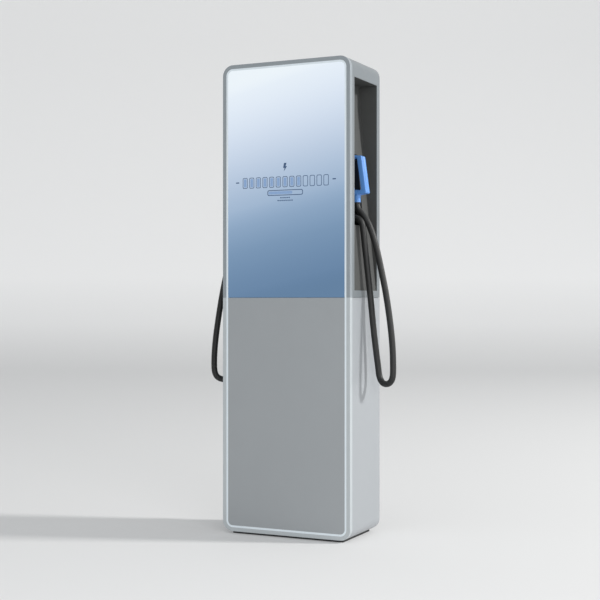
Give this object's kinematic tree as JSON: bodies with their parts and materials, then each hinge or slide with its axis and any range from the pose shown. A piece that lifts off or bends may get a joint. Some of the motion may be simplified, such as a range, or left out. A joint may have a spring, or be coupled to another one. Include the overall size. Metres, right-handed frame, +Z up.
{
  "type": "ev charging post",
  "caption": "Free-standing fast charging post: slim cabinet with a lit glass front, a connector niche and looped cable on each side, and a hinged service door at the back.",
  "frame": {"origin": "under the middle of the post, on the ground", "axes": "+X to the right of the lit front, +Y towards the service door, +Z up; the front faces -Y"},
  "size_m": [0.8798, 0.336, 2.01],
  "materials": {
    "plinth_steel": "matt black powder coat",
    "painted_shell": "light grey semi-gloss powder coat",
    "bezel_aluminium": "grey satin anodised",
    "light_acrylic": "opal acrylic, lit from behind",
    "led_tape": "white LED tape",
    "display_glass": "clear toughened glass, gloss",
    "lower_panel_paint": "mid grey satin powder coat",
    "screen_module": "lit display",
    "galvanised_steel": "galvanised",
    "niche_plastic": "dark grey textured moulding",
    "black_plastic": "black glass-filled nylon",
    "handle_blue": "sky blue satin moulding",
    "contact_silver": "silver plated",
    "gland_nylon": "black nylon",
    "collar_plastic": "black nylon",
    "cable_rubber": "matt black jacket",
    "stainless_steel": "brushed",
    "seal_rubber": "black EPDM",
    "grille_paint": "light grey powder coat",
    "filter_foam": "open-cell foam",
    "module_case": "plain sheet",
    "board_green": "solder resist",
    "contactor_resin": "moulded resin",
    "breaker_grey": "moulded resin"
  },
  "bodies": {
    "cabinet": {"base_plinth": "plinth_steel", "bezel_frame": "bezel_aluminium", "cable_entry_plate": "galvanised_steel", "cable_glands": "gland_nylon", "circuit_breakers": "breaker_grey", "contactors": "contactor_resin", "control_board": "board_green", "display_glass": "display_glass", "display_panel": "screen_module", "display_rails": "galvanised_steel", "door_frame": "galvanised_steel", "door_seal": "seal_rubber", "energy_meter": "breaker_grey", "entry_grommets": "seal_rubber", "glass_gasket": "seal_rubber", "hinge_blocks": "stainless_steel", "hinge_pins": "stainless_steel", "holster_sockets": "black_plastic", "holster_wells": "black_plastic", "led_strip": "led_tape", "light_guide": "light_acrylic", "lower_front_panel": "lower_panel_paint", "mid_rail": "galvanised_steel", "mounting_plate": "galvanised_steel", "niche_left": "niche_plastic", "niche_right": "niche_plastic", "power_modules": "module_case", "rack_frame": "galvanised_steel", "seam_straps": "galvanised_steel", "shell_lower": "painted_shell", "shell_upper": "painted_shell", "supply_terminals": "contactor_resin"},
    "connector_right": {"handle_shell_front_right": "handle_blue", "handle_shell_rear_right": "handle_blue", "connector_nose_right": "black_plastic", "contact_pins_right": "contact_silver", "cable_collar_right": "collar_plastic", "handle_screws_right": "stainless_steel", "cable_right": "cable_rubber", "cable_tail_right": "cable_rubber"},
    "connector_left": {"handle_shell_front_left": "handle_blue", "handle_shell_rear_left": "handle_blue", "connector_nose_left": "black_plastic", "contact_pins_left": "contact_silver", "cable_collar_left": "collar_plastic", "handle_screws_left": "stainless_steel", "cable_left": "cable_rubber", "cable_tail_left": "cable_rubber"},
    "service_door": {"rear_door": "painted_shell", "hinge_leaves": "stainless_steel", "lock_housings": "stainless_steel", "intake_grille": "grille_paint", "exhaust_grille": "grille_paint", "filter_mat": "filter_foam", "fan_frames": "black_plastic"},
    "lock_lower": {"lock_cam_lower": "stainless_steel"},
    "lock_upper": {"lock_cam_upper": "stainless_steel"},
    "fan_left": {"fan_rotor_left": "black_plastic"},
    "fan_right": {"fan_rotor_right": "black_plastic"}
  },
  "joints": [
    {"name": "connector_right_pull", "type": "slide", "parent": "cabinet", "child": "connector_right", "axis": [0.9903, 0, 0.1392], "range_m": [0, 0.06]},
    {"name": "connector_left_pull", "type": "slide", "parent": "cabinet", "child": "connector_left", "axis": [-0.9903, 0, 0.1392], "range_m": [0, 0.06]},
    {"name": "door_swing", "type": "hinge", "parent": "cabinet", "child": "service_door", "pos_m": [-0.292, 0.1625, 1], "axis": [0, 0, 1], "range_deg": [0, 110]},
    {"name": "lock_lower_turn", "type": "hinge", "parent": "service_door", "child": "lock_lower", "pos_m": [0.256, 0.157, 0.33], "axis": [0, -1, 0], "range_deg": [0, 90]},
    {"name": "lock_upper_turn", "type": "hinge", "parent": "service_door", "child": "lock_upper", "pos_m": [0.256, 0.157, 0.975], "axis": [0, -1, 0], "range_deg": [0, 90]},
    {"name": "fan_left_spin", "type": "hinge", "parent": "service_door", "child": "fan_left", "pos_m": [-0.085, 0.137, 1.75], "axis": [0, 1, 0], "continuous": true},
    {"name": "fan_right_spin", "type": "hinge", "parent": "service_door", "child": "fan_right", "pos_m": [0.085, 0.137, 1.75], "axis": [0, 1, 0], "continuous": true}
  ]
}
